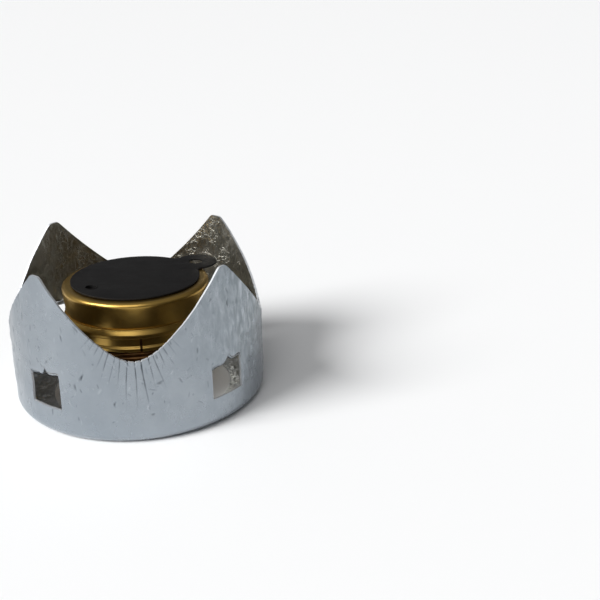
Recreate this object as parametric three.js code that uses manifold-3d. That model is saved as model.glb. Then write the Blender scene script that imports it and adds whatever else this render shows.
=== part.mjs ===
// Alcohol spirit stove: an aluminium windscreen that is also the pot stand, a brass spirit
// burner standing in its open floor, and a brass simmer ring with a swivelling cover.
// Millimetres, +Z up. Origin on the ground at the centre of the stand; -Y faces one notch.

import * as THREE from 'three';
import { mergeVertices } from 'three/addons/utils/BufferGeometryUtils.js';
import Module from 'manifold-3d';

const wasm = await Module();
wasm.setup();

const DEGREE = Math.PI / 180;
const GAP = 0.3; // clearance between pieces that rest on or in each other
const STAND_SEGMENTS = 60; // flats round each turned piece
const BURNER_SEGMENTS = 32;
const RING_SEGMENTS = 40;
const CLEAR_RADIUS = 80; // cutting tools end here, outside every piece
const CLEAR_HEIGHT = 10; // and reach this far above what they cut
const QUARTERS = [0, 90, 180, 270];

// Windscreen and pot stand, drawn from a square sheet
const STAND_HEIGHT = 79.5;
const STAND_SHEET = 1.0;
const STAND_RADIUS = 64.4; // outside, just above the bottom corner
const SHOULDER_Z = 42; // the wall leans in above this height
const SHOULDER_RADIUS = 64.0;
const TIP_RADIUS = 61.7;
const BOTTOM_CORNER = 6;
const LEAN_BEGIN = 12; // the wall above the shoulder stays almost upright for this far
const FLOOR_OPENING = 46.3; // radius of the hole in the floor
const NOTCH_Z = 41.0; // lowest point of each of the four notches
const NOTCH_ROUND = 13.1; // how softly the notch rounds at its lowest point
const NOTCH_SLOPE = 67; // height gained per radian along the wall
const NOTCH_REACH = 42.1 * DEGREE; // half width of a notch, measured round the wall
const NOTCH_STEPS = 20;
const NOTCH_TOOL_RADIUS = 30; // the notch and port tools start at these radii, inside the wall
const PORT_TOOL_RADIUS = 50;
const PORT_AZIMUTHS = [-42.3, 42.3, 137.7, -137.7]; // from -Y towards +X
const PORT_WIDTH = 19.6;
const PORT_BOTTOM = 15.3;
const PORT_TOP = 33.8;
const FLAP_FOLD = 104 * DEGREE; // how far each air flap is folded inwards
const FLAP_HINGE_DROP = 6; // the hinge line starts this far below the port's top, on the left
const FLAP_HINGE_END = 1; // and ends on the port's top edge, this far right of its middle

// Spirit burner
const BURNER_SHEET = 0.8;
const CUP_BASE = 32.2;
const CUP_NECK = 33.2;
const CUP_HEIGHT = 44.2;
const BEAD_RADIUS = 36.4;
const BEAD_Z = 25.6;
const BEAD_HALF_HEIGHT = 1.6;
const BEAD_HALF_FLAT = 0.5;
const THREAD_RADIUS = 34.2;
const THREAD_TURNS = [28.8, 31.0, 33.2];
const THREAD_HALF_PITCH = 0.9;
const SLEEVE_BORE = 22.5;
const SLEEVE_SKIRT = 8; // how far the sleeve's outer skirt reaches down inside the cup
const SLEEVE_CROWN = 2.4; // roundness of the crown at the bore
const SLEEVE_TOP = 45.7;
const SLEEVE_BOTTOM = 3.4;
const JET_COUNT = 24;
const JET_RADIUS = 0.7;
const JET_CIRCLE = 29.2;
const JET_DEPTH = 8;
const JET_SIDES = 6;
const FEED_HALF_WIDTH = 2.5;
const FEED_HEIGHT = 3;
const FEED_TOOL_RADII = [18, 27];
const WICK_BELOW_RIM = 10;

// Simmer ring and its cover
const RING_SHEET = 0.8;
const DRUM_RADIUS = 37.3;
const SKIRT_RADIUS = 36.1;
const LIP_RADIUS = 37.0;
const LIP_Z = 35.0;
const STEP_Z = 43.2;
const RING_TOP = 60.0;
const DRUM_CORNER = 4.5;
const RING_OPENING = 20.5;
const SEAT_RADIUS = 31.6; // inner edge of the seat that rests on the burner's rim
const SEAT_Z = SLEEVE_TOP + GAP;
const SLIT_COUNT = 3;
const SLIT_WIDTH = 1.4;
const SLIT_TOP = 42.4;
const SLIT_AZIMUTH = 3.5;
const SLIT_TOOL_RADII = [30, 40];
const COVER_SHEET = 0.9;
const COVER_RADIUS = 32.5;
const LOBE_RADIUS = 11.2;
const LOBE_CENTRE = 36.7;
const LOBE_HOLE = 3.65;
const COVER_AZIMUTH = 122; // direction of the lobe, from -Y towards +X; the pivot is opposite
const PIVOT_RADIUS = 25.1;
const RIVET_SHANK = 2.9;
const RIVET_BORE = 2.4;
const RIVET_HEAD = 3.8;
const RIVET_HEAD_THICKNESS = 0.5;
const RIVET_SEGMENTS = 20;
const PIVOT_DIVISIONS = 6;
const COVER_DIVISIONS = 24;
const PIVOT_HOLE = RIVET_SHANK + GAP;

const aluminium = new THREE.MeshStandardMaterial({ color: 0xb4b9bd, roughness: 0.42, metalness: 1 });
const brass = new THREE.MeshStandardMaterial({ color: 0xa5874c, roughness: 0.34, metalness: 1 });
const blackSteel = new THREE.MeshStandardMaterial({ color: 0x2b2b2d, roughness: 0.6, metalness: 0.4 });
const cotton = new THREE.MeshStandardMaterial({ color: 0xd9d2c0, roughness: 0.95, metalness: 0 });

// ---- solids from three.js geometry ----

// Turns a closed geometry into a solid whose faces point out.
function solidOf(geometry) {
  const bare = geometry.clone();
  bare.deleteAttribute('normal');
  bare.deleteAttribute('uv');
  const merged = mergeVertices(bare, 1e-4);
  const position = merged.getAttribute('position');
  const corners = [0, 1, 2].map(() => new THREE.Vector3());
  const triangles = [];
  let volume = 0;
  for (let i = 0; i < merged.index.count; i += 3) {
    const [a, b, c] = [0, 1, 2].map((k) => merged.index.getX(i + k));
    if (a === b || b === c || c === a) continue;
    [a, b, c].forEach((index, k) => corners[k].fromBufferAttribute(position, index));
    volume += corners[0].dot(corners[1].clone().cross(corners[2]));
    triangles.push([a, b, c]);
  }
  const facingOut = volume > 0 ? triangles : triangles.map(([a, b, c]) => [a, c, b]);
  const vertProperties = new Float32Array(position.array);
  const triVerts = new Uint32Array(facingOut.flat());
  return new wasm.Manifold(new wasm.Mesh({ numProp: 3, vertProperties, triVerts }));
}

// Names a finished solid and gives it its material.
function pieceOf(name, solid, material) {
  const { vertProperties, triVerts } = solid.getMesh();
  const geometry = new THREE.BufferGeometry();
  geometry.setAttribute('position', new THREE.BufferAttribute(new Float32Array(vertProperties), 3));
  geometry.setIndex(new THREE.BufferAttribute(new Uint32Array(triVerts), 1));
  geometry.computeVertexNormals();
  const mesh = new THREE.Mesh(geometry, material);
  mesh.name = name;
  return mesh;
}

const cut = (solid, tools) => tools.reduce((left, tool) => left.subtract(tool), solid);
const join = (solid, extras) => extras.reduce((whole, extra) => whole.add(extra), solid);

// The profile of a bent sheet: the path, then the same path moved sideways by the thickness.
function sheetProfile(path, thickness, divisions) {
  const points = path.getPoints(divisions);
  const offset = points.map((point, i) => {
    const before = i > 0 ? point.clone().sub(points[i - 1]).normalize() : null;
    const after = i < points.length - 1 ? points[i + 1].clone().sub(point).normalize() : null;
    const along = (before ?? after).clone().add(after ?? before).normalize();
    const mitre = 1 / Math.max(0.5, along.dot(before ?? after));
    return new THREE.Vector2(-along.y, along.x).multiplyScalar(thickness * mitre).add(point);
  });
  return [...points, ...offset.reverse()];
}

// A ring turned round the Z axis from a profile that closes on itself.
function turnedRing(profile, segments) {
  const lathe = new THREE.LatheGeometry([...profile, profile[0]], segments);
  return solidOf(lathe.rotateX(Math.PI / 2));
}

// A body turned round the Z axis from a profile that starts and ends on the axis.
function turnedBody(profile, segments) {
  return solidOf(new THREE.LatheGeometry(profile, segments).rotateX(Math.PI / 2));
}

// A prism: the outline lies in X and Z, and it reaches outwards along -Y between two radii,
// then turns to its azimuth (0 is -Y, positive towards +X).
function radialPrism(shape, innerRadius, outerRadius, azimuth) {
  const depth = outerRadius - innerRadius;
  const prism = new THREE.ExtrudeGeometry(shape, { depth, bevelEnabled: false, curveSegments: 12 });
  prism.rotateX(Math.PI / 2).translate(0, -innerRadius, 0);
  return solidOf(prism.rotateZ(azimuth * DEGREE));
}

function flatPlate(shape, bottom, thickness, curveSegments = 4) {
  const plate = new THREE.ExtrudeGeometry(shape, { depth: thickness, bevelEnabled: false, curveSegments });
  return solidOf(plate.translate(0, 0, bottom));
}

function polygon(corners) {
  return new THREE.Shape(corners.map(([x, y]) => new THREE.Vector2(x, y)));
}

function rectangle(left, right, bottom, top) {
  return polygon([[left, bottom], [right, bottom], [right, top], [left, top]]);
}

// ---- windscreen and pot stand ----

function standProfile() {
  const path = new THREE.Path();
  path.moveTo(FLOOR_OPENING, 0);
  path.lineTo(STAND_RADIUS - BOTTOM_CORNER, 0);
  path.absarc(STAND_RADIUS - BOTTOM_CORNER, BOTTOM_CORNER, BOTTOM_CORNER, -Math.PI / 2, 0, false);
  path.lineTo(SHOULDER_RADIUS, SHOULDER_Z);
  path.quadraticCurveTo(SHOULDER_RADIUS, SHOULDER_Z + LEAN_BEGIN, TIP_RADIUS, STAND_HEIGHT + STAND_SHEET);
  return sheetProfile(path, STAND_SHEET, 4);
}

// Height of the notch edge at an angle from the middle of the notch.
function notchHeight(angle) {
  return NOTCH_Z + Math.hypot(NOTCH_ROUND, NOTCH_SLOPE * angle) - NOTCH_ROUND;
}

function notchShape() {
  const edge = [];
  for (let i = 0; i <= NOTCH_STEPS; i += 1) {
    const angle = NOTCH_REACH * (2 * i / NOTCH_STEPS - 1);
    const rise = Math.max(0, notchHeight(angle) - SHOULDER_Z) / (STAND_HEIGHT - SHOULDER_Z);
    const radius = SHOULDER_RADIUS + (TIP_RADIUS - SHOULDER_RADIUS) * rise;
    edge.push([radius * Math.sin(angle), notchHeight(angle)]);
  }
  const reach = edge[NOTCH_STEPS][0];
  const above = STAND_HEIGHT + CLEAR_HEIGHT;
  return polygon([...edge, [reach, above], [-reach, above]]);
}

// The outline cut free of the wall at a port: all of the square except the corner that
// stays above the flap's slanting hinge line.
function flapOutline() {
  const half = PORT_WIDTH / 2;
  return [
    [-half, PORT_TOP - FLAP_HINGE_DROP], [-half, PORT_BOTTOM], [half, PORT_BOTTOM],
    [half, PORT_TOP], [FLAP_HINGE_END, PORT_TOP],
  ];
}

// One air flap, folded inwards about its hinge line.
function airFlap(azimuth) {
  const [start, ...rest] = flapOutline();
  const end = rest.pop();
  const wallRadius = STAND_RADIUS - STAND_SHEET * 0.6; // just inside the wall's outer face
  const hinge = new THREE.Vector3(end[0] - start[0], 0, end[1] - start[1]).normalize();
  const root = [[start[0], start[1] + STAND_SHEET / 2], [end[0] - STAND_SHEET, end[1]]];
  const trimmed = rest.map(([x, z]) => [x - Math.sign(x) * GAP, z]);
  const shape = polygon([root[0], ...trimmed, root[1]]);
  const plate = new THREE.ExtrudeGeometry(shape, { depth: STAND_SHEET, bevelEnabled: false });
  plate.rotateX(Math.PI / 2).translate(-start[0], STAND_SHEET / 2, -start[1]);
  plate.applyMatrix4(new THREE.Matrix4().makeRotationAxis(hinge, FLAP_FOLD));
  const sagitta = wallRadius - Math.sqrt(wallRadius ** 2 - (PORT_WIDTH / 2) ** 2);
  plate.translate(start[0], -wallRadius + sagitta / 2, start[1]);
  return solidOf(plate.rotateZ(azimuth * DEGREE));
}

function windscreenStand() {
  const wall = turnedRing(standProfile(), STAND_SEGMENTS);
  const everywhere = rectangle(-CLEAR_RADIUS, CLEAR_RADIUS, -CLEAR_RADIUS, CLEAR_RADIUS);
  const aboveTips = flatPlate(everywhere, STAND_HEIGHT, CLEAR_HEIGHT);
  const notches = QUARTERS.map((azimuth) =>
    radialPrism(notchShape(), NOTCH_TOOL_RADIUS, CLEAR_RADIUS, azimuth));
  const ports = PORT_AZIMUTHS.map((azimuth) =>
    radialPrism(polygon(flapOutline()), PORT_TOOL_RADIUS, CLEAR_RADIUS, azimuth));
  const flaps = PORT_AZIMUTHS.map((azimuth) => airFlap(azimuth));
  return pieceOf('windscreen_stand', join(cut(wall, [aboveTips, ...notches, ...ports]), flaps), aluminium);
}

// ---- spirit burner ----

function burnerCup() {
  const path = new THREE.Path();
  path.moveTo(0, 0);
  path.lineTo(CUP_BASE - BOTTOM_CORNER, 0);
  path.absarc(CUP_BASE - BOTTOM_CORNER, BOTTOM_CORNER, BOTTOM_CORNER, -Math.PI / 2, 0, false);
  path.lineTo(CUP_NECK, BEAD_Z - BEAD_HALF_HEIGHT);
  path.lineTo(BEAD_RADIUS, BEAD_Z - BEAD_HALF_FLAT);
  path.lineTo(BEAD_RADIUS, BEAD_Z + BEAD_HALF_FLAT);
  path.lineTo(CUP_NECK, BEAD_Z + BEAD_HALF_HEIGHT);
  for (const turn of THREAD_TURNS) {
    path.lineTo(CUP_NECK, turn - THREAD_HALF_PITCH);
    path.lineTo(THREAD_RADIUS, turn);
    path.lineTo(CUP_NECK, turn + THREAD_HALF_PITCH);
  }
  path.lineTo(CUP_NECK, CUP_HEIGHT);
  return pieceOf('burner_cup', turnedBody(sheetProfile(path, BURNER_SHEET, 3), BURNER_SEGMENTS), brass);
}

// One jet hole, drilled down through the sleeve's crown.
function jetHole(index) {
  const drill = new THREE.CylinderGeometry(JET_RADIUS, JET_RADIUS, JET_DEPTH, JET_SIDES);
  drill.rotateX(Math.PI / 2).translate(0, -JET_CIRCLE, SLEEVE_TOP);
  return solidOf(drill.rotateZ((index + 0.5) * 360 / JET_COUNT * DEGREE));
}

function jetSleeve() {
  const skirt = CUP_NECK - BURNER_SHEET - GAP;
  const path = new THREE.Path();
  path.moveTo(skirt, CUP_HEIGHT - SLEEVE_SKIRT);
  path.lineTo(skirt, CUP_HEIGHT - 0.4);
  path.quadraticCurveTo(skirt, SLEEVE_TOP, skirt - 2, SLEEVE_TOP);
  path.lineTo(SLEEVE_BORE + SLEEVE_CROWN, SLEEVE_TOP);
  path.quadraticCurveTo(SLEEVE_BORE, SLEEVE_TOP, SLEEVE_BORE, SLEEVE_TOP - SLEEVE_CROWN);
  path.lineTo(SLEEVE_BORE, SLEEVE_BOTTOM);
  const sleeve = turnedRing(sheetProfile(path, BURNER_SHEET, 3), BURNER_SEGMENTS);
  const jets = Array.from({ length: JET_COUNT }, (_, index) => jetHole(index));
  const feed = rectangle(
    -FEED_HALF_WIDTH, FEED_HALF_WIDTH, SLEEVE_BOTTOM - 1, SLEEVE_BOTTOM + FEED_HEIGHT);
  const feeds = QUARTERS.map((azimuth) => radialPrism(feed, ...FEED_TOOL_RADII, azimuth));
  return pieceOf('jet_sleeve', cut(sleeve, [...jets, ...feeds]), brass);
}

// Cotton packed between the cup and the sleeve.
function wickRing() {
  const inner = SLEEVE_BORE + BURNER_SHEET + GAP;
  const outer = CUP_BASE - BURNER_SHEET - GAP;
  const bottom = BURNER_SHEET + BOTTOM_CORNER;
  const top = CUP_HEIGHT - WICK_BELOW_RIM;
  const profile = [[inner, bottom], [outer, bottom], [outer, top], [inner, top]];
  const points = profile.map(([r, z]) => new THREE.Vector2(r, z));
  return pieceOf('wick_ring', turnedRing(points, BURNER_SEGMENTS), cotton);
}

// ---- simmer ring, cover and pivot ----

// A point on the cover's centre line, in plan; the pivot is on its negative side.
function onCoverLine(distance) {
  const angle = COVER_AZIMUTH * DEGREE;
  return [distance * Math.sin(angle), -distance * Math.cos(angle)];
}

function simmerRing() {
  const path = new THREE.Path();
  path.moveTo(LIP_RADIUS, LIP_Z);
  path.quadraticCurveTo(LIP_RADIUS + 0.5, LIP_Z + 1, LIP_RADIUS, LIP_Z + 2);
  path.lineTo(SKIRT_RADIUS, LIP_Z + 2.6);
  path.lineTo(SKIRT_RADIUS, STEP_Z - 0.6);
  path.lineTo(DRUM_RADIUS, STEP_Z);
  path.lineTo(DRUM_RADIUS, RING_TOP - DRUM_CORNER);
  path.absarc(DRUM_RADIUS - DRUM_CORNER, RING_TOP - DRUM_CORNER, DRUM_CORNER, 0, Math.PI / 2, false);
  path.lineTo(RING_OPENING, RING_TOP);
  const shell = turnedRing(sheetProfile(path, RING_SHEET, 3), RING_SEGMENTS);
  const seatOuter = DRUM_RADIUS - RING_SHEET / 2;
  const seatCorners = [
    [SEAT_RADIUS, SEAT_Z], [seatOuter, SEAT_Z], [seatOuter, SEAT_Z + RING_SHEET],
    [SEAT_RADIUS, SEAT_Z + RING_SHEET],
  ];
  const seat = turnedRing(seatCorners.map(([r, z]) => new THREE.Vector2(r, z)), RING_SEGMENTS);
  const slitShape = rectangle(-SLIT_WIDTH / 2, SLIT_WIDTH / 2, LIP_Z - 1, SLIT_TOP);
  const slits = Array.from({ length: SLIT_COUNT }, (_, index) =>
    radialPrism(slitShape, ...SLIT_TOOL_RADII, SLIT_AZIMUTH + index * 360 / SLIT_COUNT));
  const pivotHole = new THREE.Shape().absarc(...onCoverLine(-PIVOT_RADIUS), PIVOT_HOLE, 0, 2 * Math.PI);
  const drill = flatPlate(pivotHole, RING_TOP - 2 * RING_SHEET, CLEAR_HEIGHT, PIVOT_DIVISIONS);
  return pieceOf('simmer_ring', cut(join(shell, [seat]), [...slits, drill]), brass);
}

// A round plate with a round ear; the two arcs meet where their circles cross.
function coverShape() {
  const cosine = (near, far) => (LOBE_CENTRE ** 2 + near ** 2 - far ** 2) / (2 * LOBE_CENTRE * near);
  const discAngle = Math.acos(cosine(COVER_RADIUS, LOBE_RADIUS));
  const lobeAngle = Math.PI - Math.acos(cosine(LOBE_RADIUS, COVER_RADIUS));
  const heading = (COVER_AZIMUTH - 90) * DEGREE;
  const shape = new THREE.Shape();
  shape.absarc(0, 0, COVER_RADIUS, heading + discAngle, heading - discAngle + 2 * Math.PI, false);
  shape.absarc(...onCoverLine(LOBE_CENTRE), LOBE_RADIUS, heading - lobeAngle, heading + lobeAngle, false);
  for (const [distance, radius] of [[LOBE_CENTRE, LOBE_HOLE], [-PIVOT_RADIUS, PIVOT_HOLE]]) {
    shape.holes.push(new THREE.Path().absarc(...onCoverLine(distance), radius, 0, 2 * Math.PI, false));
  }
  return shape;
}

function simmerCover() {
  const plate = flatPlate(coverShape(), RING_TOP + GAP, COVER_SHEET, COVER_DIVISIONS);
  return pieceOf('simmer_cover', plate, blackSteel);
}

// A hollow rivet with a flange over the cover and another under the ring's top plate.
function pivotRivet() {
  const coverTop = RING_TOP + GAP + COVER_SHEET;
  const underside = RING_TOP - RING_SHEET - GAP;
  const profile = [
    [RIVET_BORE, underside - RIVET_HEAD_THICKNESS], [RIVET_HEAD, underside - RIVET_HEAD_THICKNESS],
    [RIVET_HEAD, underside], [RIVET_SHANK, underside],
    [RIVET_SHANK, coverTop + GAP], [RIVET_HEAD, coverTop + GAP],
    [RIVET_HEAD, coverTop + GAP + RIVET_HEAD_THICKNESS / 2],
    [RIVET_SHANK, coverTop + GAP + RIVET_HEAD_THICKNESS],
    [RIVET_BORE, coverTop + GAP + RIVET_HEAD_THICKNESS / 2],
  ];
  const rivet = turnedRing(profile.map(([r, z]) => new THREE.Vector2(r, z)), RIVET_SEGMENTS);
  const mesh = pieceOf('pivot_rivet', rivet, blackSteel);
  mesh.position.set(...onCoverLine(-PIVOT_RADIUS), 0);
  return mesh;
}

// ---- assembly ----

const stove = new THREE.Group();
stove.name = 'spirit_stove';

const burner = new THREE.Group();
burner.add(burnerCup(), jetSleeve(), wickRing());

const simmer = new THREE.Group();
simmer.add(simmerRing(), simmerCover(), pivotRivet());

stove.add(windscreenStand(), burner, simmer);

export default stove;
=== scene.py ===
import math
import random

import bpy
import numpy as np
from mathutils import Matrix, Vector, noise


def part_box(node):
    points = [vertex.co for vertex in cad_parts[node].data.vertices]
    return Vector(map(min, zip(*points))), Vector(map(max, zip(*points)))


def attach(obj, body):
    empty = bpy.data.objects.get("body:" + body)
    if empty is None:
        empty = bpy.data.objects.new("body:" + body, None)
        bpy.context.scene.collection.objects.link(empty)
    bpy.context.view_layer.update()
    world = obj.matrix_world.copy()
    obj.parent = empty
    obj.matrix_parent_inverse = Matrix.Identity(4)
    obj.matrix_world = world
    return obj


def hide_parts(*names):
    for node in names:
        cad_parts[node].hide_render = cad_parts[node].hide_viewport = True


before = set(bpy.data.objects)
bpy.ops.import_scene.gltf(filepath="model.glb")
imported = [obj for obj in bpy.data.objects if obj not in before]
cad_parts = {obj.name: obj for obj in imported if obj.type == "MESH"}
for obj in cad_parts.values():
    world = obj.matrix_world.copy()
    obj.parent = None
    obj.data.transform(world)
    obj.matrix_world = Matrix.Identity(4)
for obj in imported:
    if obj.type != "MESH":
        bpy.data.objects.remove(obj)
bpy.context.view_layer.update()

MM = 0.001

# ---- places from the frame


def box_mm(node):
    """Lowest and highest corner of a CAD node, in millimetres."""
    low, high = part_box(node)
    return np.array(low) / MM, np.array(high) / MM


_, STAND_HIGH = box_mm("windscreen_stand")
_, CUP_HIGH = box_mm("burner_cup")
SLEEVE_LOW, SLEEVE_HIGH = box_mm("jet_sleeve")
WICK_LOW, WICK_HIGH = box_mm("wick_ring")
RING_LOW, RING_HIGH = box_mm("simmer_ring")
COVER_LOW, COVER_HIGH = box_mm("simmer_cover")
RIVET_LOW, RIVET_HIGH = box_mm("pivot_rivet")

STAND_RADIUS = STAND_HIGH[0]
STAND_HEIGHT = STAND_HIGH[2]
PIVOT = (RIVET_LOW + RIVET_HIGH) / 2
EAR_DIRECTION = -PIVOT[:2] / np.hypot(PIVOT[0], PIVOT[1])  # the ear is opposite the pivot

# ---- node materials


class Nodes:
    """A short way to write a material's node tree. Its lengths are in metres."""

    def __init__(self, name):
        self.material = bpy.data.materials.new(name)
        self.material.use_nodes = True
        self.tree = self.material.node_tree
        self.shader = self.tree.nodes["Principled BSDF"]
        self.place = self.add("ShaderNodeTexCoord").outputs["Object"]

    def add(self, kind, **settings):
        node = self.tree.nodes.new(kind)
        for key, value in settings.items():
            setattr(node, key, value)
        return node

    def link(self, source, target):
        self.tree.links.new(source, target)

    def stretched(self, scale):
        mapping = self.add("ShaderNodeMapping")
        mapping.inputs["Scale"].default_value = scale
        self.link(self.place, mapping.inputs["Vector"])
        return mapping.outputs["Vector"]

    def noise(self, scale, detail=2.0, rough=0.5, stretch=None, distort=0.0):
        node = self.add("ShaderNodeTexNoise")
        node.inputs["Scale"].default_value = scale
        node.inputs["Detail"].default_value = detail
        node.inputs["Roughness"].default_value = rough
        node.inputs["Distortion"].default_value = distort
        self.link(self.stretched(stretch) if stretch else self.place, node.inputs["Vector"])
        return node.outputs["Fac"]

    def cells(self, scale, warp):
        """Distance to the edges of irregular cells whose sides wander by about the warp."""
        sway = self.add("ShaderNodeTexNoise")
        sway.inputs["Scale"].default_value = scale * 0.9
        self.link(self.place, sway.inputs["Vector"])
        moved = self.add("ShaderNodeVectorMath", operation="MULTIPLY_ADD")
        moved.inputs[1].default_value = (warp * 2, warp * 2, warp * 2)
        self.link(sway.outputs["Color"], moved.inputs[0])
        self.link(self.place, moved.inputs[2])
        node = self.add("ShaderNodeTexVoronoi", feature="DISTANCE_TO_EDGE")
        node.inputs["Scale"].default_value = scale
        self.link(moved.outputs["Vector"], node.inputs["Vector"])
        return node.outputs["Distance"]

    def ramp(self, source, stops):
        node = self.add("ShaderNodeValToRGB")
        elements = node.color_ramp.elements
        while len(elements) < len(stops):
            elements.new(0.5)
        for element, (position, colour) in zip(elements, stops):
            element.position = position
            element.color = (*colour, 1.0)
        self.link(source, node.inputs["Fac"])
        return node.outputs["Color"]

    def levels(self, source, low_in, high_in, low_out, high_out):
        """The source with one range of values mapped to another, and held at its ends."""
        node = self.add("ShaderNodeMapRange", clamp=True)
        values = {"From Min": low_in, "From Max": high_in, "To Min": low_out, "To Max": high_out}
        for key, value in values.items():
            node.inputs[key].default_value = value
        self.link(source, node.inputs["Value"])
        return node.outputs["Result"]

    def tinted(self, colour, share, tint):
        """The colour, turned towards a fixed tint by a share from 0 to 1."""
        node = self.add("ShaderNodeMix", data_type="RGBA")
        self.link(share, node.inputs["Factor"])
        first, second = [socket for socket in node.inputs if socket.type == "RGBA"]
        self.link(colour, first)
        second.default_value = (*tint, 1.0)
        return next(socket for socket in node.outputs if socket.type == "RGBA")

    def position(self):
        """The surface point's X, Y and Z."""
        parts = self.add("ShaderNodeSeparateXYZ")
        self.link(self.place, parts.inputs[0])
        return parts.outputs

    def product(self, first, second):
        """Two values multiplied."""
        node = self.add("ShaderNodeMath", operation="MULTIPLY")
        self.link(first, node.inputs[0])
        self.link(second, node.inputs[1])
        return node.outputs[0]

    def bumps(self, layers):
        """Stacks bump layers; each is (height, depth in metres)."""
        previous = None
        for height, depth in layers:
            node = self.add("ShaderNodeBump")
            node.inputs["Strength"].default_value = 1.0
            node.inputs["Distance"].default_value = depth
            self.link(height, node.inputs["Height"])
            if previous is not None:
                self.link(previous, node.inputs["Normal"])
            previous = node.outputs["Normal"]
        self.link(previous, self.shader.inputs["Normal"])


def metal(name, colours, roughness, clouds, bumps, crease_shade_and_highlight=None, ripple_and_side_shade=None, web=None, foot=None):
    """A metal with clouded colour, clouded roughness and stacked bumps.

    crease paints shade into the grooves and a highlight onto the ridges that the mesh's crease
    attribute marks; ripple adds upright waves towards one side, with painted shade in their hollows
    and a painted highlight on their crests; web adds fine crinkles in patches; foot paints light
    onto the lowest part as a lighter tint.
    """
    nodes = Nodes(name)
    colour = nodes.ramp(nodes.noise(clouds, detail=5.0, rough=0.6), colours)
    layers = [(nodes.noise(**layer), depth) for layer, depth in bumps]
    # Painted shade darkens the marked grooves and a painted highlight lightens the marked ridges.
    if crease_shade_and_highlight:
        relief = nodes.add("ShaderNodeAttribute", attribute_name="crease_shade_and_highlight").outputs["Fac"]
        colour = nodes.tinted(colour, nodes.levels(relief, 0.10, 1.0, 0.0, 0.8), crease_shade_and_highlight["grooves"])
        colour = nodes.tinted(colour, nodes.levels(relief, -0.15, -1.0, 0.0, 0.7), crease_shade_and_highlight["painted_ridge_highlight"])
    # Towards +X the waves' hollows get painted shade and their crests a painted highlight, mostly
    # darkening that side of the wall; only the waves' bump is relief.
    if ripple_and_side_shade:
        x, _, z = nodes.position()
        sideways = nodes.levels(x, *ripple_and_side_shade["across"], 0.0, 1.0)
        upwards = nodes.levels(z, *ripple_and_side_shade["up"], 0.25, 1.0)
        where = nodes.product(sideways, upwards)
        waves = nodes.noise(ripple_and_side_shade["scale"], stretch=(1, 1, 0.36), distort=0.3)
        for start, end, tint in ((0.38, 0.62, ripple_and_side_shade["painted_hollow_shade"]), (0.40, 0.28, ripple_and_side_shade["painted_crest_highlight"])):
            share = nodes.product(where, nodes.levels(waves, start, end, 0.0, 0.7))
            colour = nodes.tinted(colour, share, tint)
        layers.append((nodes.product(where, waves), ripple_and_side_shade["depth"]))
    if web:
        creases = nodes.levels(nodes.cells(web["scale"], warp=0.0030), 0.0, 0.07, 1.0, 0.0)
        patches = nodes.levels(nodes.noise(140.0, detail=1.0), 0.46, 0.60, 0.0, 1.0)
        layers.append((nodes.product(creases, patches), web["depth"]))
    if foot:
        # Painted light: the lowest part is lightened where light from above falls on the floor.
        _, _, z = nodes.position()
        colour = nodes.tinted(colour, nodes.levels(z, *foot["up"], 1.0, 0.0), foot["tint"])
    smudges = nodes.noise(clouds * 2.3, detail=6.0, rough=0.65, distort=0.4)
    nodes.link(colour, nodes.shader.inputs["Base Color"])
    nodes.link(nodes.levels(smudges, 0.3, 0.7, *roughness), nodes.shader.inputs["Roughness"])
    nodes.shader.inputs["Metallic"].default_value = 1.0
    nodes.bumps(layers)
    return nodes.material


def stand_metals():
    """The drawn aluminium: its outer face, its inner face painted darker as shade, and its cut edge
    painted bright as a highlight.
    """
    outer = metal(
        "stand_outer_satin_painted_light",
        colours=[
            (0.30, (0.285, 0.32, 0.355)), (0.55, (0.325, 0.36, 0.395)), (0.75, (0.375, 0.41, 0.445)),
        ],
        roughness=(0.24, 0.34),
        clouds=35.0,
        bumps=[
            (dict(scale=420.0), 0.00006),
            (dict(scale=260.0, stretch=(1, 1, 0.22)), 0.00016),
            (dict(scale=1500.0), 0.000008),
        ],
        # painted shade in the wrinkles' grooves and painted highlight on their ridges
        crease_shade_and_highlight=dict(grooves=(0.06, 0.07, 0.08), painted_ridge_highlight=(0.47, 0.51, 0.55)),
        # ripple: painted shade in the hollows and painted highlight on the crests, across the wall's
        # +X side
        ripple_and_side_shade=dict(
            scale=420.0, depth=0.00030, across=(0.022, 0.054), up=(0.018, 0.046),
            painted_hollow_shade=(0.16, 0.19, 0.20), painted_crest_highlight=(0.46, 0.50, 0.54),
        ),
    )
    # The inner face: the same aluminium, its colour darkened as painted shade.
    inner = metal(
        "stand_inner_creased_painted_shade",
        colours=[
            (0.30, (0.27, 0.26, 0.22)), (0.60, (0.36, 0.345, 0.30)), (0.80, (0.48, 0.465, 0.415)),
        ],
        roughness=(0.30, 0.42),
        clouds=60.0,
        bumps=[(dict(scale=210.0), 0.00020), (dict(scale=520.0), 0.00012)],
        web=dict(scale=330.0, depth=0.00015),
        # foot: painted light, a lighter tint on the inner floor
        foot=dict(up=(0.0025, 0.012), tint=(0.72, 0.74, 0.76)),
    )
    # The cut edge: colour lightened as a painted highlight along the rim.
    edge = metal(
        "stand_cut_edge_painted_highlight",
        colours=[(0.35, (0.66, 0.68, 0.70)), (0.70, (0.76, 0.77, 0.79))],
        roughness=(0.60, 0.75),
        clouds=200.0,
        bumps=[(dict(scale=2400.0), 0.00001)],
    )
    return outer, inner, edge


def ring_brass():
    """Clean satin brass, with the faint rings that turning leaves round it."""
    return metal(
        "ring_satin_brass",
        colours=[(0.30, (0.46, 0.285, 0.07)), (0.55, (0.52, 0.335, 0.09)), (0.80, (0.58, 0.39, 0.12))],
        roughness=(0.29, 0.37),
        clouds=45.0,
        bumps=[
            (dict(scale=900.0, stretch=(0.05, 0.05, 1.0)), 0.000004),
            (dict(scale=120.0), 0.00001),
        ],
    )


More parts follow.
